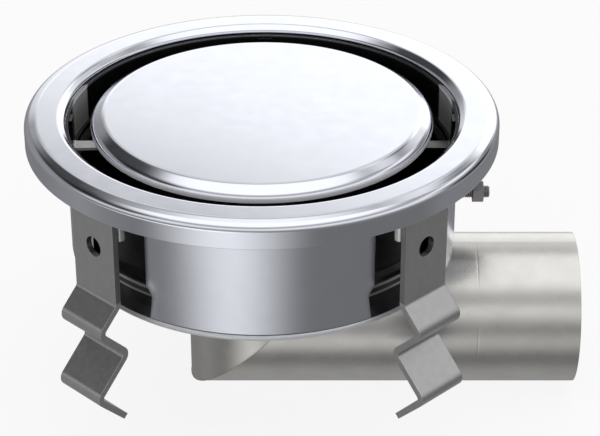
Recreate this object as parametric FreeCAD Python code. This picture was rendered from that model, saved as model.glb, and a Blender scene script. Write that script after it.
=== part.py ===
import FreeCAD, Part

import math
import os

# Round floor drain with a horizontal outlet, in millimetres.
# The shapes are drawn about the drain axis with the rim's top face at z = 0,
# then moved so that the origin is the bottom centre of the bounding box.
# The rim's radius drives the other radii, each by a named step or clearance.

# Rim: a rolled ring whose land lies flush with the floor
SHEET = 1.5
RIM_R = 113.5
RIM_EDGE_RUN = 5.6
RIM_EDGE_DROP = 1.7
RIM_LAND = 10.6
RIM_INNER_RUN = 3.2
RIM_INNER_DROP = 2.4
RIM_LIP_Z = -12.6
RIM_NECK_Z = -8.0
RIM_NECK_BEND = 0.5
RIM_INNER_BEND = 0.8
RIM_EDGE_BEND = 4.0
RIM_LIP_BEND = 2.5

# Body wall
WALL_R = RIM_R - RIM_EDGE_RUN - RIM_LAND - RIM_INNER_RUN
WALL_INNER_R = WALL_R - SHEET
WALL_TOP_Z = -5.0
WALL_BOTTOM_Z = -68.9
WINDOW_TOP_Z = -25.5
WINDOW_HALF = 18.5
WINDOW_JOG_TOP_Z = -52.0
WINDOW_JOG_BOTTOM_Z = -56.7
WINDOW_JOG_HALF = 21.5
WINDOW_FOOT_HALF = 19.9

# Bowl inside the wall, from its collar down
BOWL_STEP = 3.1
BOWL_BEAD_GAP = 0.1
BOWL_WAIST_STEP = 2.1
BOWL_BASE_RUN = 3.8
BOWL_FOOT_CHAMFER = 3.3
BOWL_COLLAR_TOP_Z = -22.5
BOWL_COLLAR_LOW_Z = -25.3
BOWL_SIDE_TOP_Z = -28.5
BOWL_SIDE_LOW_Z = -48.5
BOWL_BEAD_TOP_Z = -51.5
BOWL_BEAD_LOW_Z = -53.2
BOWL_WAIST_TOP_Z = -60.0
BOWL_WAIST_LOW_Z = -65.5
BOWL_FLARE_Z = -72.0
BOWL_BOTTOM_Z = -74.0
BOWL_TIGHT_BEND = 0.3
BOWL_SOFT_BEND = 1.0
BOWL_NECK_BEND = 2.0
BOWL_R = WALL_INNER_R - BOWL_STEP
BOWL_BEAD_R = WALL_INNER_R - BOWL_BEAD_GAP
BOWL_WAIST_R = WALL_INNER_R - BOWL_WAIST_STEP
BOWL_BASE_R = BOWL_WAIST_R + BOWL_BASE_RUN

# Outlet
PIPE_R = 37.5
PIPE_WALL = 1.5
PIPE_DROP = 0.5
PIPE_Z = BOWL_BOTTOM_Z - PIPE_DROP - PIPE_R
PIPE_REACH = 41.8
PIPE_END_X = RIM_R + PIPE_REACH
SOCKET_DEPTH = 50.0
MARK_DEPTH = 0.03
MARK_HALF = 0.6

# Cover and the straps that carry it
SLOT_WIDTH = 10.6
COVER_TOP_Z = -0.6
COVER_EDGE_RUN = 6.0
COVER_EDGE_Z = -3.9
COVER_BOTTOM_Z = -7.2
COVER_EDGE_BEND = 3.0
COVER_LIP_BEND = 2.7
COVER_R = WALL_INNER_R - SLOT_WIDTH
COVER_FLAT_R = COVER_R - COVER_EDGE_RUN
STRAP_WIDTH = 7.4
STRAP_BEND = 1.0
STRAP_WALL_GAP = 0.1
STRAP_TOP_Z = -5.6
STRAP_FOOT_Z = -21.4
STRAP_RISER_STEP = 12.0
STRAP_PAD_LENGTH = 9.0
STRAP_LEG_R = WALL_INNER_R - STRAP_WALL_GAP
STRAP_RISER_R = COVER_R - STRAP_RISER_STEP

# Anchors, cranked strips that are cast into the floor
ANCHOR_T = 3.0
ANCHOR_WIDTH = 28.0
ANCHOR_BEND_R = 2.0
ANCHOR_SETBACK = 6.5
ANCHOR_FOOT_GAP = 4.0
ANCHOR_BEND_Z = -59.0
CRANK_1_OUT = 12.0
CRANK_1_Z = -71.0
CRANK_2_OUT = -3.7
CRANK_2_Z = -86.7
CRANK_3_OUT = 15.0
CRANK_3_Z = -105.4
CRANK_4_OUT = -1.6
CRANK_4_Z = -122.0
ANCHOR_HOLE_R = 5.0
ANCHOR_HOLE_Z = -33.0
ANCHOR_FACE_R = RIM_R - ANCHOR_SETBACK
ANCHOR_FOOT_R = WALL_R + ANCHOR_FOOT_GAP

# Studs under the rim that hold the anchor feet
RIM_STUD_R = 2.75
RIM_STUD_STEP = 5.7
RIM_STUD_OFFSET = 10.4
RIM_STUD_BOTTOM_Z = -28.1
RIM_STUD_CHAMFER = 0.5
RIM_STUD_HOLE_GAP = 0.05
RIM_STUD_CIRCLE_R = WALL_R + RIM_STUD_STEP

# Earth stud, M6
EARTH_Z = -46.0
EARTH_R = 3.0
EARTH_LENGTH = 16.6
EARTH_CHAMFER = 0.5
NUT_SETBACK = 8.4
NUT_T = 5.2
NUT_FLATS = 10.0
NUT_HOLE_GAP = 0.05
EARTH_END_X = WALL_R + EARTH_LENGTH
NUT_X = WALL_R + NUT_SETBACK

ORIGIN_X = (PIPE_END_X - RIM_R) / 2.0
ORIGIN_Z = PIPE_Z - PIPE_R

UP = FreeCAD.Vector(0, 0, 1)
ZERO = FreeCAD.Vector(0, 0, 0)


def save(shape, name):
    """Moves one piece into the row frame and writes it."""
    placed = shape.copy()
    placed.translate(FreeCAD.Vector(-ORIGIN_X, 0, -ORIGIN_Z))
    if not placed.isValid():
        raise RuntimeError("invalid shape: " + name)
    placed.exportStep("parts/" + name + ".step")


def corner_arc(before, corner, after, radius):
    """Start, middle and end of the arc that rounds one corner of a path."""
    ax, az = before[0] - corner[0], before[1] - corner[1]
    bx, bz = after[0] - corner[0], after[1] - corner[1]
    la, lb = math.hypot(ax, az), math.hypot(bx, bz)
    ax, az, bx, bz = ax / la, az / la, bx / lb, bz / lb
    half = math.acos(max(-1.0, min(1.0, ax * bx + az * bz))) / 2.0
    run = radius / math.tan(half)
    mx, mz = ax + bx, az + bz
    lm = math.hypot(mx, mz)
    depth = radius / math.sin(half) - radius
    start = (corner[0] + ax * run, corner[1] + az * run)
    end = (corner[0] + bx * run, corner[1] + bz * run)
    middle = (corner[0] + mx / lm * depth, corner[1] + mz / lm * depth)
    return start, middle, end


def point(pair):
    """A path point (radius, height) as a vector in the XZ plane."""
    return FreeCAD.Vector(pair[0], 0, pair[1])


def path_edges(path, radii):
    """Edges along an open path, each inner corner rounded by its radius."""
    edges = []
    here = path[0]
    for i in range(1, len(path) - 1):
        if radii[i - 1] > 0:
            start, middle, end = corner_arc(path[i - 1], path[i], path[i + 1], radii[i - 1])
            edges.append(Part.makeLine(point(here), point(start)))
            edges.append(Part.Arc(point(start), point(middle), point(end)).toShape())
            here = end
        else:
            edges.append(Part.makeLine(point(here), point(path[i])))
            here = path[i]
    edges.append(Part.makeLine(point(here), point(path[-1])))
    return edges


def right_offset(path, distance):
    """The path moved sideways by a distance, to the right of its travel."""
    moved = []
    for i, here in enumerate(path):
        normals = []
        for a, b in ((i - 1, i), (i, i + 1)):
            if a >= 0 and b < len(path):
                dx, dz = path[b][0] - path[a][0], path[b][1] - path[a][1]
                length = math.hypot(dx, dz)
                normals.append((dz / length, -dx / length))
        mx = sum(n[0] for n in normals)
        mz = sum(n[1] for n in normals)
        scale = distance / (mx * normals[0][0] + mz * normals[0][1])
        moved.append((here[0] + mx * scale, here[1] + mz * scale))
    return moved


def sheet_face(path, bends, thickness):
    """Section of a bent sheet: the path is one side, the sheet lies to its right."""
    near, far = [], []
    for i in range(1, len(path) - 1):
        ax, az = path[i][0] - path[i - 1][0], path[i][1] - path[i - 1][1]
        bx, bz = path[i + 1][0] - path[i][0], path[i + 1][1] - path[i][1]
        inner = bends[i - 1]
        turns_right = ax * bz - az * bx < 0
        near.append(inner + thickness if turns_right else inner)
        far.append(inner if turns_right else inner + thickness)
    other = right_offset(path, thickness)
    edges = path_edges(path, near)
    edges.append(Part.makeLine(point(path[-1]), point(other[-1])))
    edges.extend(path_edges(other, far))
    edges.append(Part.makeLine(point(other[0]), point(path[0])))
    return Part.Face(Part.Wire(Part.__sortEdges__(edges)))


def spun(face):
    """A section turned once round the drain axis."""
    return face.revolve(ZERO, UP, 360)


def strip(face, width, azimuth):
    """A section extruded to a strip of a width, facing outward at an azimuth."""
    body = face.extrude(FreeCAD.Vector(0, width, 0))
    body.translate(FreeCAD.Vector(0, -width / 2.0, 0))
    body.rotate(ZERO, UP, azimuth)
    return body


def tube(radius, wall, start, direction, length):
    """A straight tube."""
    outside = Part.makeCylinder(radius, length, start, direction)
    return outside.cut(Part.makeCylinder(radius - wall, length, start, direction))


def make_rim():
    path = [(WALL_R, RIM_NECK_Z), (WALL_R, -RIM_INNER_DROP), (WALL_R + RIM_INNER_RUN, 0.0)]
    path += [(RIM_R - RIM_EDGE_RUN, 0.0), (RIM_R, -RIM_EDGE_DROP), (RIM_R, RIM_LIP_Z)]
    bends = [RIM_NECK_BEND, RIM_INNER_BEND, RIM_EDGE_BEND, RIM_LIP_BEND]
    return spun(sheet_face(path, bends, SHEET))


def window_cutter(azimuth):
    """Prism for one window, open at the wall's bottom edge."""
    low = WALL_BOTTOM_Z - SHEET
    half = [
        (WINDOW_HALF, WINDOW_TOP_Z),
        (WINDOW_HALF, WINDOW_JOG_TOP_Z),
        (WINDOW_JOG_HALF, WINDOW_JOG_BOTTOM_Z),
        (WINDOW_FOOT_HALF, low),
    ]
    outline = half + [(-y, z) for y, z in reversed(half)]
    corners = [FreeCAD.Vector(WALL_R / 2.0, y, z) for y, z in outline]
    face = Part.Face(Part.makePolygon(corners + corners[:1]))
    body = face.extrude(FreeCAD.Vector(WALL_R, 0, 0))
    body.rotate(ZERO, UP, azimuth)
    return body


def make_wall():
    height = WALL_TOP_Z - WALL_BOTTOM_Z
    wall = tube(WALL_R, SHEET, FreeCAD.Vector(0, 0, WALL_BOTTOM_Z), UP, height)
    for azimuth in (45, 135, 225, 315):
        wall = wall.cut(window_cutter(azimuth))
    return wall


def make_bowl():
    path = [
        (WALL_INNER_R, BOWL_COLLAR_TOP_Z),
        (WALL_INNER_R, BOWL_COLLAR_LOW_Z),
        (BOWL_R, BOWL_SIDE_TOP_Z),
        (BOWL_R, BOWL_SIDE_LOW_Z),
        (BOWL_BEAD_R, BOWL_BEAD_TOP_Z),
        (BOWL_BEAD_R, BOWL_BEAD_LOW_Z),
        (BOWL_WAIST_R, BOWL_WAIST_TOP_Z),
        (BOWL_WAIST_R, BOWL_WAIST_LOW_Z),
        (BOWL_BASE_R, BOWL_FLARE_Z),
        (BOWL_BASE_R - BOWL_FOOT_CHAMFER, BOWL_BOTTOM_Z),
        (PIPE_R - PIPE_WALL, BOWL_BOTTOM_Z),
    ]
    tight, soft = BOWL_TIGHT_BEND, BOWL_SOFT_BEND
    bends = [tight, soft, soft, tight, tight, soft, soft, tight, BOWL_NECK_BEND]
    return spun(sheet_face(path, bends, SHEET))


def mitre_box(upper):
    """Half space on one side of the bend's 45 degree joint, as a large prism."""
    size = 2.0 * PIPE_END_X
    corners = [(-size, PIPE_Z - size), (size, PIPE_Z + size)]
    corners.append((-size, PIPE_Z + size) if upper else (size, PIPE_Z - size))
    ring = [FreeCAD.Vector(x, -size, z) for x, z in corners]
    return Part.Face(Part.makePolygon(ring + ring[:1])).extrude(FreeCAD.Vector(0, 2 * size, 0))


def make_outlet_stub():
    start = FreeCAD.Vector(0, 0, PIPE_Z - 2.0 * PIPE_R)
    body = tube(PIPE_R, PIPE_WALL, start, UP, BOWL_BOTTOM_Z - start.z)
    return body.common(mitre_box(True))


def socket_mark():
    """Very shallow ring that marks how far the pipe goes into a socket."""
    x = PIPE_END_X - SOCKET_DEPTH
    ring = [(x - MARK_HALF, 0.0), (x, -MARK_DEPTH), (x + MARK_HALF, 0.0), (x, MARK_DEPTH)]
    corners = [FreeCAD.Vector(px, 0, PIPE_Z + PIPE_R + pz) for px, pz in ring]
    face = Part.Face(Part.makePolygon(corners + corners[:1]))
    return face.revolve(FreeCAD.Vector(0, 0, PIPE_Z), FreeCAD.Vector(1, 0, 0), 360)


def make_outlet_pipe():
    start = FreeCAD.Vector(-2.0 * PIPE_R, 0, PIPE_Z)
    body = tube(PIPE_R, PIPE_WALL, start, FreeCAD.Vector(1, 0, 0), PIPE_END_X - start.x)
    return body.common(mitre_box(False)).cut(socket_mark())


def make_cover():
    path = [(0.0, COVER_TOP_Z), (COVER_FLAT_R, COVER_TOP_Z)]
    path += [(COVER_R, COVER_EDGE_Z), (COVER_R, COVER_BOTTOM_Z)]
    return spun(sheet_face(path, [COVER_EDGE_BEND, COVER_LIP_BEND], SHEET))


def make_strap(azimuth):
    pad_z = COVER_TOP_Z - SHEET - SHEET
    path = [
        (STRAP_LEG_R, STRAP_TOP_Z),
        (STRAP_LEG_R, STRAP_FOOT_Z),
        (STRAP_RISER_R, STRAP_FOOT_Z),
        (STRAP_RISER_R, pad_z),
        (STRAP_RISER_R - STRAP_PAD_LENGTH, pad_z),
    ]
    return strip(sheet_face(path, [STRAP_BEND] * 3, SHEET), STRAP_WIDTH, azimuth)


def stud_places(azimuth):
    """Centres of the two rim studs of the anchor at an azimuth."""
    turn = FreeCAD.Rotation(UP, azimuth)
    sides = (-RIM_STUD_OFFSET, RIM_STUD_OFFSET)
    return [turn.multVec(FreeCAD.Vector(RIM_STUD_CIRCLE_R, side, 0)) for side in sides]


def make_anchor(azimuth):
    path = [
        (ANCHOR_FOOT_R, -SHEET),
        (ANCHOR_FACE_R, -SHEET),
        (ANCHOR_FACE_R, ANCHOR_BEND_Z),
        (ANCHOR_FACE_R + CRANK_1_OUT, CRANK_1_Z),
        (ANCHOR_FACE_R + CRANK_2_OUT, CRANK_2_Z),
        (ANCHOR_FACE_R + CRANK_3_OUT, CRANK_3_Z),
        (ANCHOR_FACE_R + CRANK_4_OUT, CRANK_4_Z),
    ]
    body = strip(sheet_face(path, [ANCHOR_BEND_R] * 5, ANCHOR_T), ANCHOR_WIDTH, azimuth)
    outward = FreeCAD.Rotation(UP, azimuth).multVec(FreeCAD.Vector(1, 0, 0))
    start = outward * (ANCHOR_FACE_R - 2 * ANCHOR_T) + UP * ANCHOR_HOLE_Z
    body = body.cut(Part.makeCylinder(ANCHOR_HOLE_R, 4 * ANCHOR_T, start, outward))
    for place in stud_places(azimuth):
        low = place - UP * (SHEET + 2 * ANCHOR_T)
        radius = RIM_STUD_R + RIM_STUD_HOLE_GAP
        body = body.cut(Part.makeCylinder(radius, 3 * ANCHOR_T, low, UP))
    return body


def make_rim_stud(place):
    length = -SHEET - RIM_STUD_BOTTOM_Z
    body = Part.makeCylinder(RIM_STUD_R, length, place + UP * RIM_STUD_BOTTOM_Z, UP)
    ends = [e for e in body.Edges if e.BoundBox.ZLength < 0.01]
    return body.makeChamfer(RIM_STUD_CHAMFER, ends)


def make_earth_stud():
    start = FreeCAD.Vector(WALL_R, 0, EARTH_Z)
    body = Part.makeCylinder(EARTH_R, EARTH_LENGTH, start, FreeCAD.Vector(1, 0, 0))
    tip = [e for e in body.Edges if abs(e.BoundBox.XMin - EARTH_END_X) < 0.01]
    return body.makeChamfer(EARTH_CHAMFER, tip)


def make_earth_nut():
    across = NUT_FLATS / math.sqrt(3.0)
    ring = []
    for k in range(7):
        turn = math.radians(60.0 * k + 30.0)
        ring.append(FreeCAD.Vector(NUT_X, across * math.cos(turn), EARTH_Z + across * math.sin(turn)))
    along = FreeCAD.Vector(1, 0, 0)
    body = Part.Face(Part.makePolygon(ring)).extrude(along * NUT_T)
    start = FreeCAD.Vector(NUT_X, 0, EARTH_Z)
    hole = Part.makeCylinder(EARTH_R + NUT_HOLE_GAP, NUT_T, start, along)
    return body.cut(hole)


def main():
    os.makedirs("parts", exist_ok=True)
    save(make_rim(), "rim")
    save(make_wall(), "body_wall")
    save(make_bowl(), "bowl")
    save(make_outlet_stub(), "outlet_stub")
    save(make_outlet_pipe(), "outlet_pipe")
    save(make_cover(), "cover")
    sides = {"right": 0, "back": 90, "left": 180, "front": 270}
    for side, azimuth in sides.items():
        save(make_strap(azimuth), "cover_strap_" + side)
    quarters = {"back_right": 45, "back_left": 135, "front_left": 225, "front_right": 315}
    for quarter, azimuth in quarters.items():
        save(make_anchor(azimuth), "anchor_" + quarter)
        pair = [make_rim_stud(place) for place in stud_places(azimuth)]
        save(Part.makeCompound(pair), "rim_studs_" + quarter)
    save(make_earth_stud(), "earth_stud")
    save(make_earth_nut(), "earth_nut")


main()
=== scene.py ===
"""Floor drain with a ring-shaped inlet: finishes, welds, thread, light and camera."""

from __future__ import annotations

import logging
import math
from dataclasses import dataclass, replace
from enum import Enum

import bmesh
import bpy
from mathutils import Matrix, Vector

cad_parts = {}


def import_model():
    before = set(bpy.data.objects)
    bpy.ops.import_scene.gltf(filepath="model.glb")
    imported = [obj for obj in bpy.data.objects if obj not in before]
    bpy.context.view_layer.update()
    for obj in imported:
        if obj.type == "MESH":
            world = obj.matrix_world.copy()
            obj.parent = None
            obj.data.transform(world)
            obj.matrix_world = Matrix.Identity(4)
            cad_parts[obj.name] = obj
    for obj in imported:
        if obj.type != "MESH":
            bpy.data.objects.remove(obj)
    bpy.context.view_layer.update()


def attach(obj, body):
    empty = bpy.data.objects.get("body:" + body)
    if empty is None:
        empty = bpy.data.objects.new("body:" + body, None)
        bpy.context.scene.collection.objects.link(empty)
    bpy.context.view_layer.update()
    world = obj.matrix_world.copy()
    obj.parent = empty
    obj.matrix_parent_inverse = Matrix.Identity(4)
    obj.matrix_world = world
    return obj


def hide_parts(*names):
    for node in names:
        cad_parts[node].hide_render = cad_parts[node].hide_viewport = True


LOG = logging.getLogger("floor_drain")

Socket = bpy.types.NodeSocket
Colour = tuple[float, float, float]
Pairs = tuple[tuple[float, float], ...]

MM = 0.001
AXIS_X = -20.9 * MM
FLOOR_LEVEL = 149.5 * MM
WHITE = (1.0, 1.0, 1.0, 1.0)


def row(x: float, y: float, z: float) -> Vector:
    """Turns a place about the drain axis and the rim's top into the row's frame.

    Args:
        x: Millimetres from the drain axis along the outlet.
        y: Millimetres from the drain axis across the outlet.
        z: Millimetres above the rim's top face.

    Returns:
        The same place in metres in the frame of the row.
    """
    return Vector((AXIS_X + x * MM, y * MM, FLOOR_LEVEL + z * MM))


def even_turns(count: int) -> list[float]:
    """Gives even angles round a circle.

    Args:
        count: How many angles.

    Returns:
        The angles in radians, from nought.
    """
    return [2 * math.pi * k / count for k in range(count)]


class NodeBoard:
    """A node tree with short calls to add and join nodes."""

    def __init__(self, tree: bpy.types.NodeTree) -> None:
        """Keeps the tree and clears what is in it.

        Args:
            tree: The node tree to fill.
        """
        self.tree = tree
        tree.nodes.clear()

    def add(self, kind: str, **settings: object) -> bpy.types.Node:
        """Adds a node and sets its properties.

        Args:
            kind: Blender's name of the node type.
            settings: Properties of the node, by name.

        Returns:
            The new node.
        """
        node = self.tree.nodes.new(kind)
        for key, value in settings.items():
            setattr(node, key, value)
        return node

    def feed(self, value: object, socket: Socket) -> None:
        """Sets a socket to a value, or links it when the value is a socket.

        Args:
            value: A number, a tuple or an output socket.
            socket: The input socket to fill.
        """
        if isinstance(value, Socket):
            self.tree.links.new(value, socket)
        else:
            socket.default_value = value

    def math(self, operation: str, first: object, second: object = 0.0) -> Socket:
        """Adds a Math node.

        Args:
            operation: The operation's name.
            first: The first number or socket.
            second: The second number or socket.

        Returns:
            The result's socket.
        """
        node = self.add("ShaderNodeMath", operation=operation)
        self.feed(first, node.inputs[0])
        self.feed(second, node.inputs[1])
        return node.outputs[0]

    def product(self, first: Socket, *others: object) -> Socket:
        """Multiplies a socket by numbers or by other sockets.

        Args:
            first: The first factor.
            others: The other factors.

        Returns:
            The product's socket.
        """
        result = first
        for other in others:
            result = self.math("MULTIPLY", result, other)
        return result

    def vector_math(self, operation: str, first: Socket, second: object = (0.0, 0.0, 0.0)) -> Socket:
        """Adds a Vector Math node.

        Args:
            operation: The operation's name.
            first: The first vector's socket.
            second: The second vector or socket.

        Returns:
            The result's socket, a number for a length or a dot product.
        """
        node = self.add("ShaderNodeVectorMath", operation=operation)
        self.feed(first, node.inputs[0])
        self.feed(second, node.inputs[1])
        return node.outputs["Value" if operation in ("LENGTH", "DOT_PRODUCT") else "Vector"]

    def split(self, vector: Socket) -> list[Socket]:
        """Splits a vector.

        Args:
            vector: The vector's socket.

        Returns:
            The sockets of its three parts.
        """
        node = self.add("ShaderNodeSeparateXYZ")
        self.feed(vector, node.inputs[0])
        return list(node.outputs)

    def join(self, *parts: object) -> Socket:
        """Joins three parts into a vector.

        Args:
            parts: The three numbers or sockets.

        Returns:
            The vector's socket.
        """
        node = self.add("ShaderNodeCombineXYZ")
        for part, socket in zip(parts, node.inputs):
            self.feed(part, socket)
        return node.outputs[0]

    def ramp(self, value: Socket, low: tuple[float, float], high: tuple[float, float]) -> Socket:
        """Maps a range of values smoothly onto another.

        Args:
            value: The socket to map.
            low: The lower value and what it becomes.
            high: The upper value and what it becomes.

        Returns:
            The result's socket.
        """
        node = self.add("ShaderNodeMapRange", interpolation_type="SMOOTHSTEP")
        self.feed(value, node.inputs["Value"])
        for name, pair in (("Min", low), ("Max", high)):
            node.inputs["From " + name].default_value = pair[0]
            node.inputs["To " + name].default_value = pair[1]
        return node.outputs["Result"]

    def rise(self, value: Socket, start: float, end: float) -> Socket:
        """Gives nought below a range of values and one above it.

        Args:
            value: The value's socket.
            start: Where the result starts to rise.
            end: Where it is one.

        Returns:
            The result's socket.
        """
        return self.ramp(value, (start, 0.0), (end, 1.0))

    def fall(self, value: Socket, start: float, end: float) -> Socket:
        """Gives one below a range of values and nought above it.

        Args:
            value: The value's socket.
            start: Where the result starts to fall.
            end: Where it is nought.

        Returns:
            The result's socket.
        """
        return self.ramp(value, (start, 1.0), (end, 0.0))

    def blend(self, factor: Socket, first: object, second: object) -> Socket:
        """Mixes two colours.

        Args:
            factor: How much of the second colour shows.
            first: The first colour or socket.
            second: The second colour or socket.

        Returns:
            The mixed colour's socket.
        """
        node = self.add("ShaderNodeMix", data_type="RGBA")
        self.feed(factor, node.inputs[0])
        self.feed(first, node.inputs[6])
        self.feed(second, node.inputs[7])
        return node.outputs[2]

    def noise(self, vector: Socket, scale: float, detail: float = 3.0) -> Socket:
        """Adds a noise texture.

        Args:
            vector: The coordinates' socket.
            scale: The texture's scale.
            detail: How many finer layers it has.

        Returns:
            The noise value's socket.
        """
        node = self.add("ShaderNodeTexNoise")
        self.feed(vector, node.inputs["Vector"])
        node.inputs["Scale"].default_value = scale
        node.inputs["Detail"].default_value = detail
        return node.outputs["Fac"]

    def about_axis(self, position: Socket) -> tuple[Socket, Socket, Socket]:
        """Measures a place from the drain axis and the part's lowest point.

        Args:
            position: The piece's own coordinates.

        Returns:
            The distances along the outlet, across it and up, in metres.
        """
        x, y, z = self.split(position)
        return self.math("SUBTRACT", x, AXIS_X), y, z

    def reach(self, east: Socket, north: Socket) -> Socket:
        """Gives the distance from the drain axis.

        Args:
            east: The distance along the outlet.
            north: The distance across it.

        Returns:
            The distance's socket.
        """
        squares = self.math("ADD", self.product(east, east), self.product(north, north))
        return self.math("SQRT", squares)

    def facing(self) -> list[Socket]:
        """Gives the three parts of the direction in which a face looks."""
        return self.split(self.add("ShaderNodeNewGeometry").outputs["True Normal"])

    def mix_shaders(self, factor: Socket, first: Socket, second: Socket) -> Socket:
        """Mixes two shaders.

        Args:
            factor: How much of the second shader shows.
            first: The first shader.
            second: The second shader.

        Returns:
            The mixed shader's socket.
        """
        node = self.add("ShaderNodeMixShader")
        for value, socket in zip((factor, first, second), node.inputs):
            self.feed(value, socket)
        return node.outputs[0]

    def source(self, kind: str, colour: tuple[float, ...], strength: float | Socket | None = None) -> Socket:
        """Adds a plain shader of one colour.

        Args:
            kind: Blender's name of the node type.
            colour: Its colour.
            strength: How strongly it shines, for a shader that does.

        Returns:
            The shader's socket.
        """
        node = self.add(kind)
        node.inputs["Color"].default_value = colour
        if strength is not None:
            self.feed(strength, node.inputs["Strength"])
        return node.outputs[0]

    def show(self, shader: Socket, output: str) -> None:
        """Joins a shader to the tree's output.

        Args:
            shader: The shader's socket.
            output: Blender's name of the output node's type.
        """
        self.feed(shader, self.add(output).inputs["Surface"])


class Grain(Enum):
    """How a finish's marks run; the value squeezes the coordinates that way, so that they grow long."""

    ROUND_AXIS = 0.004
    ALONG_X = 0.04
    DOWN = 0.06
    NONE = 1.0

    def stretch(self, board: NodeBoard, position: Socket) -> Socket:
        """Stretches a texture's coordinates along the marks.

        Args:
            board: The material's board.
            position: The piece's own coordinates.

        Returns:
            The stretched coordinates.
        """
        if self is Grain.NONE:
            return position
        if self is Grain.ROUND_AXIS:
            east, north, up = board.about_axis(position)
            turn = board.math("ARCTAN2", north, east)
            return board.join(board.product(turn, self.value), board.reach(east, north), up)
        x, y, z = board.split(position)
        if self is Grain.ALONG_X:
            return board.join(board.product(x, self.value), y, z)
        return board.join(x, y, board.product(z, self.value))


@dataclass(frozen=True, kw_only=True)
class Coat:
    """A part of a piece's surface that looks different from the rest, with sizes in millimetres."""

    colour: Colour
    metal: float = 1.0
    rougher: float = 0.0

    def mask(self, board: NodeBoard, position: Socket) -> Socket:
        """Finds the coat's own part of the surface.

        Args:
            board: The material's board.
            position: The piece's own coordinates.

        Returns:
            One on the coat and nought beside it.
        """
        raise NotImplementedError


@dataclass(frozen=True, kw_only=True)
class Band(Coat):
    """A coat between two heights above the part's lowest point."""

    low: float
    high: float
    blur: float = 0.15
    outer_only: bool = False
    outer_blur: float = 1.0

    def mask(self, board: NodeBoard, position: Socket) -> Socket:
        """Finds the heights, on the faces that look away from the drain axis if only those are coated.

        Args:
            board: The material's board.
            position: The piece's own coordinates.

        Returns:
            One on the coat and nought beside it.
        """
        east, north, up = board.about_axis(position)
        over = board.rise(up, (self.low - self.blur) * MM, (self.low + self.blur) * MM)
        under = board.fall(up, (self.high - self.blur) * MM, (self.high + self.blur) * MM)
        between = board.product(over, under)
        if not self.outer_only:
            return between
        look_east, look_north, _ = board.facing()
        outward = board.math("ADD", board.product(east, look_east), board.product(north, look_north))
        return board.product(between, board.rise(outward, 0.0, self.outer_blur * MM))


@dataclass(frozen=True, kw_only=True)
class PaintedShadeFace(Coat):
    """The coat of the wall's inner face, painted dark and dull as painted shade for the shade inside the
    drain.
    """

    radius: float = 94.03
    blur: float = 0.03

    def mask(self, board: NodeBoard, position: Socket) -> Socket:
        """Finds the inner face, by its distance from the drain axis.

        Args:
            board: The material's board.
            position: The piece's own coordinates.

        Returns:
            One on the inner face and nought outside.
        """
        east, north, _ = board.about_axis(position)
        inner, outer = (self.radius - self.blur) * MM, (self.radius + self.blur) * MM
        return board.fall(board.reach(east, north), inner, outer)


@dataclass(frozen=True, kw_only=True)
class PaintedReflectionStrips(PaintedShadeFace):
    """The coat of two paler upright strips of the inner face, left and right: a painted reflection of the
    light through the slot.
    """

    near: tuple[float, float] = (86.6, 87.2)
    far: tuple[float, float] = (91.6, 92.4)
    behind: float = 1.0

    def mask(self, board: NodeBoard, position: Socket) -> Socket:
        """Finds the strips, by their distance from the drain axis along the outlet.

        Args:
            board: The material's board.
            position: The piece's own coordinates.

        Returns:
            One on the strips and nought beside them.
        """
        east, north, _ = board.about_axis(position)
        sideways = board.math("ABSOLUTE", east)
        start = board.rise(sideways, self.near[0] * MM, self.near[1] * MM)
        end = board.fall(sideways, self.far[0] * MM, self.far[1] * MM)
        back = board.rise(north, 0.0, self.behind * MM)
        return board.product(super().mask(board, position), start, end, back)


@dataclass(frozen=True, kw_only=True)
class PaintedShadeSideFaces(Coat):
    """The coat of an anchor's side faces above a height: painted shade, a darker colour for the shade that
    falls on them beside the wall.

    A line straight out of such a face passes far from the drain axis, and that distance finds the face.
    """

    above: float
    blur: float = 1.0
    miss: tuple[float, float] = (50.0, 70.0)

    def mask(self, board: NodeBoard, position: Socket) -> Socket:
        """Finds the side faces that carry the painted shade.

        Args:
            board: The material's board.
            position: The piece's own coordinates.

        Returns:
            One on those faces and nought on the rest.
        """
        east, north, up = board.about_axis(position)
        look_east, look_north, _ = board.facing()
        passing = board.math("SUBTRACT", board.product(east, look_north), board.product(north, look_east))
        side = board.rise(board.math("ABSOLUTE", passing), self.miss[0] * MM, self.miss[1] * MM)
        return board.product(side, board.rise(up, (self.above - self.blur) * MM, self.above * MM))


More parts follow.
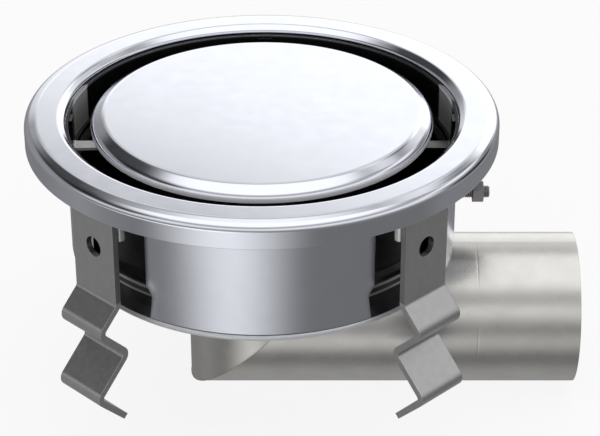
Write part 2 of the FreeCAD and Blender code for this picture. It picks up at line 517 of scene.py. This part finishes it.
@dataclass(frozen=True)
class SteelFinish:
    """One finish of the drain's steel, with its edge and its marks' height in millimetres."""

    name: str
    colour: Colour
    shade: Colour
    rough: tuple[float, float]
    grain: Grain = Grain.NONE
    grain_depth: float = 0.02
    grain_height: float = 0.1
    grain_scale: float = 2600.0
    grain_detail: float = 2.0
    mottle: float = 60.0
    cloud_range: tuple[float, float] = (0.35, 0.65)
    smear_range: tuple[float, float] = (0.3, 0.7)
    smear_finer: float = 2.3
    edge: float = 0.25
    edge_samples: int = 6
    coats: tuple[Coat, ...] = ()

    def relief(self, board: NodeBoard, position: Socket) -> Socket:
        """Makes the fine marks and the softened edges.

        Args:
            board: The material's board.
            position: The piece's own coordinates.

        Returns:
            The socket of the surface's direction.
        """
        bump = board.add("ShaderNodeBump")
        bump.inputs["Strength"].default_value = self.grain_depth
        bump.inputs["Distance"].default_value = self.grain_height * MM
        marks = board.noise(self.grain.stretch(board, position), self.grain_scale, self.grain_detail)
        board.feed(marks, bump.inputs["Height"])
        if self.edge > 0:
            bevel = board.add("ShaderNodeBevel", samples=self.edge_samples)
            bevel.inputs["Radius"].default_value = self.edge * MM
            board.feed(bevel.outputs[0], bump.inputs["Normal"])
        return bump.outputs[0]

    def build(self) -> bpy.types.Material:
        """Makes the material.

        Returns:
            The new material.
        """
        material = bpy.data.materials.new(self.name)
        material.use_nodes = True
        board = NodeBoard(material.node_tree)
        position = board.add("ShaderNodeTexCoord").outputs["Object"]
        cloud = board.rise(board.noise(position, self.mottle), *self.cloud_range)
        smear = board.noise(position, self.mottle * self.smear_finer)
        colour = board.blend(cloud, (*self.shade, 1.0), (*self.colour, 1.0))
        rough = board.ramp(smear, *zip(self.smear_range, self.rough))
        metal = 1.0
        for coat in self.coats:
            share = coat.mask(board, position)
            colour = board.blend(share, colour, (*coat.colour, 1.0))
            rough = board.math("ADD", rough, board.product(share, coat.rougher))
            metal = board.math("SUBTRACT", metal, board.product(share, 1.0 - coat.metal))
        steel = board.add("ShaderNodeBsdfPrincipled")
        board.feed(colour, steel.inputs["Base Color"])
        board.feed(rough, steel.inputs["Roughness"])
        board.feed(metal, steel.inputs["Metallic"])
        board.feed(self.relief(board, position), steel.inputs["Normal"])
        board.show(steel.outputs[0], "ShaderNodeOutputMaterial")
        return material


POLISHED = SteelFinish(
    "polished_steel", (0.82, 0.84, 0.91), (0.81, 0.83, 0.90), (0.12, 0.15), Grain.ROUND_AXIS, 0.015
)
# The cover's lip and underside, below 144.6 mm, are a pale, almost matt coat: painted light, so that the lip
# shows bright in the rim's shade.
COVER = replace(
    POLISHED, name="cover_steel_painted_lit_lip", coats=(Band(low=0.0, high=144.6, colour=(0.92, 0.93, 0.97), metal=0.05),)
)
WALL = replace(
    POLISHED, name="wall_steel", colour=(0.81, 0.83, 0.90), shade=(0.80, 0.82, 0.89), rough=(0.20, 0.23),
    coats=(
        # The inner face's dark, dull colour is painted shade.
        PaintedShadeFace(colour=(0.03, 0.03, 0.031), rougher=0.25),
        # Two paler strips on the inner face are a painted reflection.
        PaintedReflectionStrips(colour=(0.40, 0.40, 0.40), metal=0.1),
    ),
)
# The bowl's near-black colour is painted shade for the shade inside the drain; on its outer faces the listed
# bands keep a lighter steel colour.
INNER = SteelFinish(
    "inner_steel", (0.08, 0.08, 0.083), (0.055, 0.055, 0.058), (0.34, 0.44), Grain.ROUND_AXIS, 0.04,
    coats=(
        Band(low=0.0, high=79.5, colour=(0.80, 0.81, 0.85), metal=0.55, outer_only=True),
        Band(low=89.5, high=91.2, colour=(0.55, 0.55, 0.56), outer_only=True),
        Band(low=94.3, high=96.3, colour=(0.55, 0.55, 0.56), outer_only=True),
    ),
)
SATIN = SteelFinish(
    "satin_steel", (0.72, 0.71, 0.68), (0.68, 0.67, 0.645), (0.27, 0.31), Grain.ALONG_X, 0.03
)
MILL = SteelFinish(
    "mill_steel", (0.60, 0.60, 0.60), (0.575, 0.575, 0.575), (0.325, 0.365), Grain.DOWN, 0.06,
    # The side faces of the anchors' upper plates are darkened as painted shade.
    mottle=240.0, edge=0.4, coats=(PaintedShadeSideFaces(above=92.0, colour=(0.27, 0.27, 0.27)),),
)
# The straps' near-black steel colour is painted shade for the slot they stand in, and the coat on their top
# ends is a darker painted shade.
STRAP = SteelFinish(
    "strap_steel", (0.18, 0.18, 0.185), (0.15, 0.15, 0.155), (0.25, 0.32), edge=0.2,
    coats=(Band(low=142.0, high=150.0, colour=(0.03, 0.03, 0.03)),),
)
# The copy for the strap on the lit side adds a painted highlight on its foot: a pale, almost matt coat below
# 130.5 mm.
PAINTED_LIT_STRAP = replace(
    STRAP, name="painted_lit_strap_steel",
    coats=(*STRAP.coats, Band(low=0.0, high=130.5, colour=(0.95, 0.95, 0.95), metal=0.1)),
)
STUD = SteelFinish("stud_steel", (0.66, 0.66, 0.65), (0.60, 0.60, 0.60), (0.28, 0.36), edge=0.2)
EARTH = SteelFinish("earth_steel", (0.40, 0.37, 0.36), (0.34, 0.32, 0.31), (0.30, 0.38), edge=0.15)
SEAM = SteelFinish(
    "seam_steel", (0.68, 0.67, 0.645), (0.64, 0.63, 0.61), (0.30, 0.38), mottle=900.0, edge=0.0
)


def dress(name: str, material: bpy.types.Material) -> str:
    """Gives one node of the frame a material in all its slots.

    Args:
        name: The node's name.
        material: The material to give it.

    Returns:
        The node's name.
    """
    mesh = bpy.data.objects[name].data
    if not mesh.materials:
        mesh.materials.append(material)
    for index in range(len(mesh.materials)):
        mesh.materials[index] = material
    return name


def new_object(name: str, shape: bmesh.types.BMesh, material: bpy.types.Material) -> bpy.types.Object:
    """Turns a shape into an object of the scene.

    Args:
        name: The object's name.
        shape: The shape, which is freed.
        material: Its material.

    Returns:
        The new object.
    """
    mesh = bpy.data.meshes.new(name)
    shape.to_mesh(mesh)
    shape.free()
    mesh.materials.append(material)
    made = bpy.data.objects.new(name, mesh)
    bpy.context.scene.collection.objects.link(made)
    return made


def new_piece(
    name: str, shape: bmesh.types.BMesh, material: bpy.types.Material
) -> bpy.types.Object:
    """Turns a shape into an object that rides on the drain.

    Args:
        name: The object's name.
        shape: The shape, which is freed.
        material: Its material.

    Returns:
        The new object.
    """
    bmesh.ops.recalc_face_normals(shape, faces=shape.faces)
    piece = new_object(name, shape, material)
    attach(piece, "root")
    return piece


@dataclass
class SpunSheet:
    """A thin sheet pressed to a section and spun round the drain axis, in millimetres."""

    path: list[tuple[float, float]]
    bends: tuple[float, ...]
    sheet: float = 1.5
    around: int = 288
    arc_steps: int = 12
    margin: float = 0.15
    pole: float = 1e-6

    def shifted(self, distance: float) -> list[tuple[float, float]]:
        """Moves the path sideways, to the right of its travel.

        Args:
            distance: Millimetres to move it by.

        Returns:
            The moved path.
        """
        moved = []
        for i, (r, z) in enumerate(self.path):
            normals = []
            for a, b in ((i - 1, i), (i, i + 1)):
                if a >= 0 and b < len(self.path):
                    dr, dz = self.path[b][0] - self.path[a][0], self.path[b][1] - self.path[a][1]
                    length = math.hypot(dr, dz)
                    normals.append((dz / length, -dr / length))
            mr, mz = sum(n[0] for n in normals), sum(n[1] for n in normals)
            scale = distance / (mr * normals[0][0] + mz * normals[0][1])
            moved.append((r + mr * scale, z + mz * scale))
        return moved

    def rounded(self, path: list[tuple[float, float]], extra: float) -> list[tuple[float, float]]:
        """Rounds the corners of a path, with close points beside each arc.

        Args:
            path: The path's corners, each of which turns right.
            extra: Millimetres to add to each bend's inner radius.

        Returns:
            Points along the rounded path.
        """
        points = [path[0]]
        for i in range(1, len(path) - 1):
            corner = Vector(path[i])
            back = (Vector(path[i - 1]) - corner).normalized()
            ahead = (Vector(path[i + 1]) - corner).normalized()
            half = back.angle(ahead) / 2
            radius = self.bends[i - 1] + extra
            run = radius / math.tan(half)
            centre = corner + (back + ahead).normalized() * radius / math.sin(half)
            start, end = corner + back * run - centre, corner + ahead * run - centre
            swing = math.pi - 2 * half
            points.append(tuple(centre + start + back * self.margin))
            for k in range(self.arc_steps + 1):
                turned = swing * k / self.arc_steps
                arm = start * math.sin(swing - turned) + end * math.sin(turned)
                points.append(tuple(centre + arm / math.sin(swing)))
            points.append(tuple(centre + end + ahead * self.margin))
        points.append(path[-1])
        return points

    def shape(self) -> bmesh.types.BMesh:
        """Spins the section.

        Returns:
            The sheet's shape.
        """
        section = self.rounded(self.path, self.sheet) + self.rounded(self.shifted(self.sheet), 0.0)[::-1]
        spun = bmesh.new()
        rings = []
        for r, z in section:
            if r < self.pole:
                rings.append([spun.verts.new(row(0.0, 0.0, z))] * self.around)
                continue
            places = [row(r * math.cos(turn), r * math.sin(turn), z) for turn in even_turns(self.around)]
            rings.append([spun.verts.new(place) for place in places])
        for i, ring in enumerate(rings):
            then = rings[(i + 1) % len(rings)]
            for k in range(self.around):
                n = (k + 1) % self.around
                corners = list(dict.fromkeys((ring[k], ring[n], then[n], then[k])))
                if len(corners) > 2:
                    spun.faces.new(corners).smooth = True
        return spun


@dataclass
class DrainBody:
    """The rim, the wall, the bowl, the cover and its straps, in millimetres."""

    rim_r: float = 113.5
    rim_edge_run: float = 5.6
    rim_edge_drop: float = 1.7
    rim_land: float = 10.6
    rim_inner_run: float = 3.2
    rim_inner_drop: float = 2.4
    rim_neck_z: float = -8.0
    rim_lip_z: float = -12.6
    rim_bends: tuple[float, ...] = (0.5, 0.8, 4.0, 2.5)
    cover_r: float = 82.0
    cover_top_z: float = -0.6
    cover_edge_run: float = 6.0
    cover_edge_z: float = -3.9
    cover_bottom_z: float = -7.2
    cover_bends: tuple[float, ...] = (3.0, 2.7)
    crease: float = 50.0
    sides: tuple[str, ...] = ("front", "right", "back", "left")
    # The side whose strap carries the painted highlight on its foot.
    painted_lit_side: str = "left"

    def rim_sheet(self) -> SpunSheet:
        """Lays out the rim's section, from the neck over the land to the lip.

        Returns:
            The rim's sheet.
        """
        land_end = self.rim_r - self.rim_edge_run
        land_start = land_end - self.rim_land
        neck = land_start - self.rim_inner_run
        path = [
            (neck, self.rim_neck_z), (neck, -self.rim_inner_drop), (land_start, 0.0), (land_end, 0.0),
            (self.rim_r, -self.rim_edge_drop), (self.rim_r, self.rim_lip_z),
        ]
        return SpunSheet(path, self.rim_bends)

    def cover_sheet(self) -> SpunSheet:
        """Lays out the cover's section, from its middle over the slope to the lip.

        Returns:
            The cover's sheet.
        """
        path = [
            (0.0, self.cover_top_z), (self.cover_r - self.cover_edge_run, self.cover_top_z),
            (self.cover_r, self.cover_edge_z), (self.cover_r, self.cover_bottom_z),
        ]
        return SpunSheet(path, self.cover_bends)

    def spin(self, name: str, sheet: SpunSheet, polish: bpy.types.Material) -> str:
        """Makes a finely spun sheet in place of a node.

        Args:
            name: The node it stands for.
            sheet: The sheet.
            polish: Its material.

        Returns:
            The spun piece's name.
        """
        dress(name, polish)
        piece = new_piece(name + "_spun", sheet.shape(), polish)
        piece.data.set_sharp_from_angle(angle=math.radians(self.crease))
        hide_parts(name)
        return piece.name

    def build(self) -> list[str]:
        """Spins the rim and the cover and gives the body its finishes.

        Returns:
            The pieces' names.
        """
        names = [
            self.spin("rim", self.rim_sheet(), POLISHED.build()),
            self.spin("cover", self.cover_sheet(), COVER.build()),
            dress("body_wall", WALL.build()),
            dress("bowl", INNER.build()),
        ]
        # Every strap carries painted shade; the one on the lit side also carries a painted highlight on its
        # foot.
        strap, bright = STRAP.build(), PAINTED_LIT_STRAP.build()
        for side in self.sides:
            names.append(dress("cover_strap_" + side, bright if side == self.painted_lit_side else strap))
        return names


@dataclass
class AnchorSet:
    """The cranked anchors and the studs that hold their feet."""

    quarters: tuple[str, ...] = ("front_left", "front_right", "back_left", "back_right")

    def build(self) -> list[str]:
        """Gives the anchors and the studs their finishes.

        Returns:
            The pieces' names.
        """
        mill, stud = MILL.build(), STUD.build()
        anchors = [dress("anchor_" + quarter, mill) for quarter in self.quarters]
        return anchors + [dress("rim_studs_" + quarter, stud) for quarter in self.quarters]


@dataclass
class Outlet:
    """The mitred bend, the pipe and the welds that join them, in millimetres."""

    radius: float = 37.5
    pipe_z: float = -112.0
    bowl_z: float = -74.0
    bowl_gap: float = 0.1
    bead: float = 0.2
    bead_rise: float = 0.45
    bead_width: float = 1.6
    ripple: float = 0.10
    ripple_turn: float = 2.1
    crown: float = 1.0
    steps: int = 180
    sides: int = 8

    def bead_ring(self, path: list[Vector], outward: list[Vector]) -> bmesh.types.BMesh:
        """Sweeps a flat, rippled weld bead round a closed path.

        Args:
            path: Points along the joint, in metres.
            outward: The direction off the surface at each point.

        Returns:
            The bead's shape.
        """
        shape = bmesh.new()
        rings = []
        count = len(path)
        for i, (centre, out) in enumerate(zip(path, outward)):
            along = (path[(i + 1) % count] - path[i - 1]).normalized()
            side = along.cross(out).normalized()
            size = self.bead * (1.0 + self.ripple * math.sin(i * self.ripple_turn)) * MM
            ring = []
            for turn in even_turns(self.sides):
                rise = math.sin(turn) * self.bead_rise * size
                width = math.cos(turn) * self.bead_width * size
                ring.append(shape.verts.new(centre + out * rise + side * width))
            rings.append(ring)
        for i in range(count):
            here, then = rings[i], rings[(i + 1) % count]
            for k in range(self.sides):
                n = (k + 1) % self.sides
                face = shape.faces.new((here[k], here[n], then[n], then[k]))
                face.smooth = True
        return shape

    def mitre_bead(self) -> bmesh.types.BMesh:
        """Makes the weld round the bend's mitre.

        Returns:
            The bead's shape.
        """
        path, outward = [], []
        for turn in even_turns(self.steps):
            x, y = self.radius * math.cos(turn), self.radius * math.sin(turn)
            path.append(row(x, y, self.pipe_z + x))
            off = Vector((min(x, 0.0), y, min(x, 0.0)))
            if off.length <= self.crown:
                off = Vector((1.0, 0.0, 1.0)) * x
            outward.append(off.normalized())
        return self.bead_ring(path, outward)

    def stub_bead(self) -> bmesh.types.BMesh:
        """Makes the weld round the bend's top, under the bowl.

        Returns:
            The bead's shape.
        """
        path, outward = [], []
        for turn in even_turns(self.steps):
            x, y = self.radius * math.cos(turn), self.radius * math.sin(turn)
            path.append(row(x, y, self.bowl_z - self.bowl_gap))
            outward.append(Vector((x, y, -self.radius)).normalized())
        return self.bead_ring(path, outward)

    def build(self) -> list[str]:
        """Gives the bend and the pipe their finish and makes the two welds.

        Returns:
            The pieces' names.
        """
        satin, seam = SATIN.build(), SEAM.build()
        names = [dress("outlet_stub", satin), dress("outlet_pipe", satin)]
        for name, bead in (("bend_weld", self.mitre_bead()), ("stub_weld", self.stub_bead())):
            names.append(new_piece(name, bead, seam).name)
        return names


@dataclass
class EarthPoint:
    """The threaded earth stud and its nut, both along the outlet's direction, in millimetres."""

    start: float = 94.1
    end: float = 110.7
    radius: float = 3.0
    root: float = 2.55
    pitch: float = 1.0
    lead_in: float = 0.7
    crest: float = 1.6
    flank: float = 3.6
    z: float = -46.0
    stud_around: int = 32
    stud_steps: int = 132
    nut_start: float = 102.5
    nut_length: float = 5.2
    nut_around: int = 72
    flats: float = 10.0
    bore_share: float = 0.9
    mouth: float = 0.5
    crown_share: float = 1.02
    chamfer: float = 0.6

    def spot(self, x: float, reach: float, turn: float) -> Vector:
        """Gives a point round the stud's own axis.

        Args:
            x: Millimetres along the stud.
            reach: Millimetres from the stud's axis.
            turn: Angle round the stud, in radians.

        Returns:
            The point in the row's frame.
        """
        return row(x, reach * math.cos(turn), self.z + reach * math.sin(turn))

    def lathe(self, rings: list[list[Vector]], closed: bool) -> bmesh.types.BMesh:
        """Joins rings of points into a skin.

        Args:
            rings: Rings with the same number of points each.
            closed: Whether the last ring joins the first; otherwise the ends are capped.

        Returns:
            The shape.
        """
        shape = bmesh.new()
        made = [[shape.verts.new(place) for place in ring] for ring in rings]
        pairs = list(zip(made, made[1:]))
        if closed:
            pairs.append((made[-1], made[0]))
        for here, then in pairs:
            for k in range(len(here)):
                n = (k + 1) % len(here)
                shape.faces.new((here[k], here[n], then[n], then[k]))
        if not closed:
            shape.faces.new(made[0])
            shape.faces.new(made[-1])
        return shape

    def thread_reach(self, x: float, turn: float) -> float:
        """Gives the threaded stud's radius at a place.

        Args:
            x: Millimetres along the stud.
            turn: Angle round it.

        Returns:
            The radius in millimetres.
        """
        phase = ((x - self.start) / self.pitch - turn / (2 * math.pi)) % 1.0
        height = min(1.0, max(0.0, self.crest - abs(phase - 0.5) * self.flank))
        lead = min(1.0, max(0.0, (self.end - x) / self.lead_in))
        return self.root + (self.radius - self.root) * height * lead

    def stud_rings(self) -> list[list[Vector]]:
        """Gives the rings of the threaded stud, from the wall to its end.

        Returns:
            The rings.
        """
        rings = []
        for i in range(self.stud_steps + 1):
            x = self.start + (self.end - self.start) * i / self.stud_steps
            turns = even_turns(self.stud_around)
            rings.append([self.spot(x, self.thread_reach(x, turn), turn) for turn in turns])
        return rings

    def nut_section(self, turn: float) -> tuple[tuple[float, float], ...]:
        """Gives the nut's chamfered section at an angle.

        Args:
            turn: Angle round the nut, in radians.

        Returns:
            Places along the nut with their reach, from the bore over the flat and back.
        """
        low, high = self.nut_start, self.nut_start + self.nut_length
        flat, corner = self.flats / 2, self.flats / math.sqrt(3.0)
        bore, crown = self.radius * self.bore_share, flat * self.crown_share
        from_flat = (turn + math.pi / 6) % (math.pi / 3) - math.pi / 6
        reach = min(corner, flat / math.cos(from_flat))
        drop = max(0.0, reach - crown) * self.chamfer
        brim = min(reach, crown)
        return (
            (low + self.mouth, bore), (low, bore + self.mouth), (low, brim), (low + drop, reach),
            (high - drop, reach), (high, brim), (high, bore + self.mouth), (high - self.mouth, bore),
        )

    def nut_rings(self) -> list[list[Vector]]:
        """Gives the rings of the chamfered nut, from its bore round the outside and back.

        Returns:
            The rings.
        """
        slices = []
        for turn in even_turns(self.nut_around):
            slices.append([self.spot(x, reach, turn) for x, reach in self.nut_section(turn)])
        return [list(ring) for ring in zip(*slices)]

    def build(self) -> list[str]:
        """Makes the threaded stud and the chamfered nut in place of their nodes.

        Returns:
            The pieces' names.
        """
        earth = EARTH.build()
        stud = new_piece("earth_stud_thread", self.lathe(self.stud_rings(), False), earth)
        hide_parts("earth_stud")
        nut = new_piece("earth_nut_chamfered", self.lathe(self.nut_rings(), True), earth)
        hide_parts("earth_nut")
        return [stud.name, nut.name]


@dataclass(frozen=True)
class Patch:
    """One soft patch of the studio, with its own reach along each axis and an even core."""

    towards: tuple[float, float, float]
    reach: tuple[float, float, float]
    strength: float
    core: float = 0.0

    def share(self, board: NodeBoard, direction: Socket) -> Socket:
        """Gives the patch's strength by direction.

        Args:
            board: The world's board.
            direction: The direction's socket.

        Returns:
            The strength's socket.
        """
        away = board.vector_math("SUBTRACT", direction, Vector(self.towards).normalized())
        length = board.vector_math("LENGTH", board.vector_math("DIVIDE", away, self.reach))
        return board.ramp(length, (self.core, self.strength), (1.0, 0.0))


@dataclass
class Studio:
    """The white floor in metres and the soft room that the steel reflects.

    Back and front hold the brightness by height behind the drain and before it. The window is the
    widest light and fades across a leaning edge. The lights add to the room, and each shade takes
    a share of it away.
    """

    white: float = 0.965
    floor_size: float = 6.0
    floor_grey: float = 0.86
    floor_shine: float = 1.02
    floor_lift: float = 0.86
    merge: float = 0.15
    back: Pairs = (
        (-1.0, 0.38), (-0.79, 0.34), (-0.60, 0.26), (-0.42, 0.20), (-0.20, 0.27), (0.10, 0.30), (0.40, 0.28),
        (0.55, 0.32), (0.66, 0.40), (0.78, 0.38), (0.83, 0.48), (0.88, 1.10), (0.93, 1.20),
    )
    front: Pairs = (
        (-1.0, 0.38), (-0.90, 0.20), (-0.79, 0.17), (-0.50, 0.17), (-0.09, 0.20), (0.07, 0.34), (0.225, 0.66),
        (0.39, 0.98), (0.46, 0.95), (0.58, 0.50), (0.67, 0.40), (0.76, 0.52), (0.84, 1.00), (0.90, 1.20),
    )
    window: Patch = Patch((0.08, 0.95, 0.29), (0.60, 1.0, 0.62), 0.95, 0.45)
    window_edge: tuple[float, float, float] = (-0.296, -0.448, 0.843)
    window_fade: Pairs = (
        (-0.05, 1.00), (-0.015, 0.98), (-0.006, 0.84), (0.005, 0.74), (0.0197, 0.54), (0.0276, 0.34),
        (0.0391, 0.20), (0.07, 0.16), (0.13, 0.50), (0.20, 0.75),
    )
    lights: tuple[Patch, ...] = (
        Patch((-0.27, -0.87, -0.42), (0.72, 0.72, 0.46), 0.86),
        Patch((0.78, 0.36, 0.56), (0.32, 0.60, 0.16), 0.66, 0.45),
        Patch((-0.62, -0.70, -0.26), (0.68, 1.20, 0.10), 0.90, 0.30),
        Patch((-0.87, 0.0, -0.49), (0.50, 0.70, 0.40), 0.07),
        Patch((0.45, 0.82, 0.35), (0.28, 0.40, 0.40), 0.60, 0.30),
        Patch((0.42, 0.55, 0.75), (0.26, 0.40, 0.13), 0.50, 0.50),
    )
    shades: tuple[Patch, ...] = (
        Patch((-0.58, 0.50, 0.62), (0.46, 0.65, 0.26), 0.86, 0.55),
        Patch((-0.82, -0.05, 0.56), (0.42, 0.66, 0.30), 0.88, 0.45),
        Patch((0.43, 0.62, 0.65), (0.17, 0.30, 0.12), 0.80, 0.40),
        Patch((0.60, 0.70, 0.37), (0.16, 0.30, 0.12), 0.60, 0.30),
        Patch((0.91, 0.40, 0.10), (0.30, 0.50, 0.20), 0.92, 0.50),
    )

    def levels(self, board: NodeBoard, value: Socket, points: Pairs) -> Socket:
        """Makes a run of brightness levels along a coordinate from minus one to one.

        Args:
            board: The world's board.
            value: The coordinate's socket.
            points: Places on the coordinate and their levels.

        Returns:
            The brightness by direction.
        """
        ramp = board.add("ShaderNodeValToRGB")
        ramp.color_ramp.interpolation = "LINEAR"
        stops = ramp.color_ramp.elements
        while len(stops) < len(points):
            stops.new(0.5)
        for stop, (place, level) in zip(stops, points):
            stop.position = place / 2 + 0.5
            stop.color = (level, level, level, 1.0)
        board.feed(board.math("ADD", board.product(value, 0.5), 0.5), ramp.inputs[0])
        return ramp.outputs[0]

    def brightness(self, board: NodeBoard, direction: Socket) -> Socket:
        """Gives the room's light by direction.

        Args:
            board: The world's board.
            direction: The direction's socket.

        Returns:
            The brightness.
        """
        _, north, up = board.split(direction)
        behind = self.levels(board, up, self.back)
        before = self.levels(board, up, self.front)
        room = board.blend(board.rise(north, -self.merge, self.merge), before, behind)
        lean = board.vector_math("DOT_PRODUCT", direction, self.window_edge)
        fading = self.levels(board, lean, self.window_fade)
        room = board.math("ADD", room, board.product(self.window.share(board, direction), fading))
        for light in self.lights:
            room = board.math("ADD", room, light.share(board, direction))
        for shade in self.shades:
            room = board.product(board.math("SUBTRACT", 1.0, shade.share(board, direction)), room)
        return room

    def build_room(self) -> None:
        """Makes the world: white behind the drain, a soft room for light and reflections."""
        world = bpy.data.worlds.new("studio")
        bpy.context.scene.world = world
        world.use_nodes = True
        board = NodeBoard(world.node_tree)
        direction = board.add("ShaderNodeTexCoord").outputs["Generated"]
        light = board.source("ShaderNodeBackground", WHITE, self.brightness(board, direction))
        behind = board.source("ShaderNodeBackground", WHITE, self.white)
        seen = board.add("ShaderNodeLightPath").outputs["Is Camera Ray"]
        board.show(board.mix_shaders(seen, light, behind), "ShaderNodeOutputWorld")

    def floor_material(self) -> bpy.types.Material:
        """Makes the floor's white, which keeps a light shadow and opens to reflections.

        Returns:
            The floor's material.
        """
        material = bpy.data.materials.new("studio_floor")
        material.use_nodes = True
        board = NodeBoard(material.node_tree)
        path = board.add("ShaderNodeLightPath").outputs
        paint = board.source("ShaderNodeBsdfDiffuse", (*(self.floor_grey,) * 3, 1.0))
        shine = board.source("ShaderNodeEmission", WHITE, self.floor_shine)
        lit = board.mix_shaders(board.product(path["Is Camera Ray"], self.floor_lift), paint, shine)
        clear = board.add("ShaderNodeBsdfTransparent").outputs[0]
        mirrored = board.math("MAXIMUM", path["Is Glossy Ray"], path["Is Transmission Ray"])
        board.show(board.mix_shaders(mirrored, lit, clear), "ShaderNodeOutputMaterial")
        return material

    def build_floor(self) -> None:
        """Makes the floor that the drain stands on."""
        shape = bmesh.new()
        half = self.floor_size / 2
        corners = [(-half, -half), (half, -half), (half, half), (-half, half)]
        shape.faces.new([shape.verts.new((x, y, 0.0)) for x, y in corners])
        floor = new_object("studio_floor", shape, self.floor_material())

    def build(self) -> None:
        """Makes the room and the floor."""
        self.build_room()
        self.build_floor()


@dataclass
class PhotoCamera:
    """The camera at the photograph's place, fitted to the drain's outlines.

    The offset is where the rim's middle lies from it, to the right, down and ahead, in millimetres.
    """

    focal_px: float = 2036.25
    frame_px: float = 600.0
    pitch: float = 29.48
    offset: tuple[float, float, float] = (-18.17, -53.01, 974.24)
    sensor: float = 36.0
    nearest: float = 0.01

    def build(self) -> None:
        """Makes the camera and sets it as the scene's."""
        tilt = math.radians(self.pitch)
        right = Vector((1.0, 0.0, 0.0))
        down = Vector((0.0, -math.sin(tilt), -math.cos(tilt)))
        ahead = Vector((0.0, math.cos(tilt), -math.sin(tilt)))
        across, below, away = self.offset
        data = bpy.data.cameras.new("photo_camera")
        data.sensor_width = self.sensor
        data.lens = self.focal_px * self.sensor / self.frame_px
        data.clip_start = self.nearest
        camera = bpy.data.objects.new("photo_camera", data)
        camera.location = row(0.0, 0.0, 0.0) - (right * across + down * below + ahead * away) * MM
        camera.rotation_euler = (math.pi / 2 - tilt, 0.0, 0.0)
        bpy.context.scene.collection.objects.link(camera)
        bpy.context.scene.camera = camera


def main() -> None:
    """Builds the drain's looks, the studio and the camera."""
    logging.basicConfig(level=logging.INFO)
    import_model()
    bpy.context.scene.view_settings.view_transform = "Standard"
    PhotoCamera().build()
    LOG.info("camera placed")
    Studio().build()
    LOG.info("studio built")
    for assembly in (DrainBody(), AnchorSet(), Outlet(), EarthPoint()):
        for name in assembly.build():
            LOG.info("finished %s", name)


if __name__ == "__main__":
    main()
